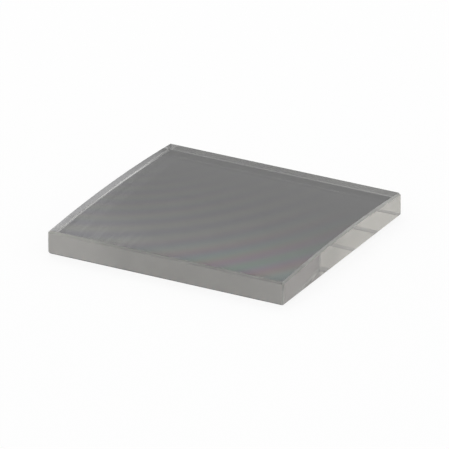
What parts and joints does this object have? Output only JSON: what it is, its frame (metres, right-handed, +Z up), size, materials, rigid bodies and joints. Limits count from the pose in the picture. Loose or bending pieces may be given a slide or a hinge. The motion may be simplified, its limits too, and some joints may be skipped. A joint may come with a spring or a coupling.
{
  "type": "plano-convex cylindrical lens",
  "caption": "Rectangular plate of clear optical glass, flat below and shallowly curved above in one direction, to focus light to a line.",
  "frame": {"origin": "middle of the flat face, which the lens rests on", "axes": "+X along the axis of the curved face, +Y across the curve, +Z up through the crown of the curved face"},
  "size_m": [0.032, 0.03, 0.0035],
  "materials": {
    "optical_glass": "polished optical faces, finely ground edges and bevels"
  },
  "bodies": {
    "root": {"lens": "optical_glass"}
  },
  "joints": []
}
